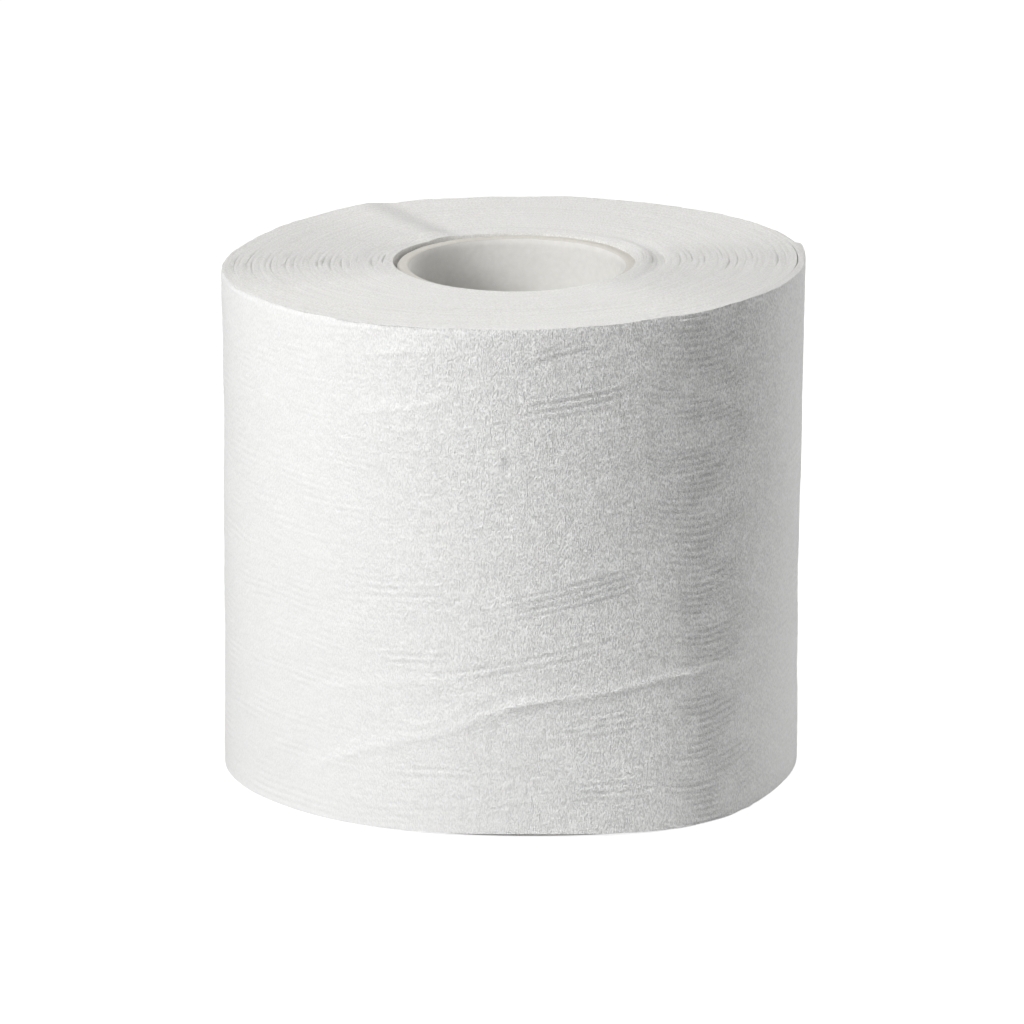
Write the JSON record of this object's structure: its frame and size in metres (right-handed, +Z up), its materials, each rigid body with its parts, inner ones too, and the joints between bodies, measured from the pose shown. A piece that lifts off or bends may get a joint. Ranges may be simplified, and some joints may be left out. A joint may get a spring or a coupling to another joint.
{
  "type": "toilet paper roll",
  "caption": "Round roll of white creped toilet tissue wound on a cardboard tube, standing on one end.",
  "frame": {"origin": "on the roll's axis, in the plane of the end that it stands on", "axes": "+Z up along the axis of the roll and its tube, -Y out of the middle of the last sheet, +X to the right of someone facing that sheet"},
  "size_m": [0.1119, 0.1118, 0.1],
  "materials": {
    "tissue": "creped, soft, matte",
    "tube_board": "uncoated grey-white board, matte"
  },
  "bodies": {
    "root": {"tissue_winding": "tissue", "core_tube": "tube_board"}
  },
  "joints": []
}
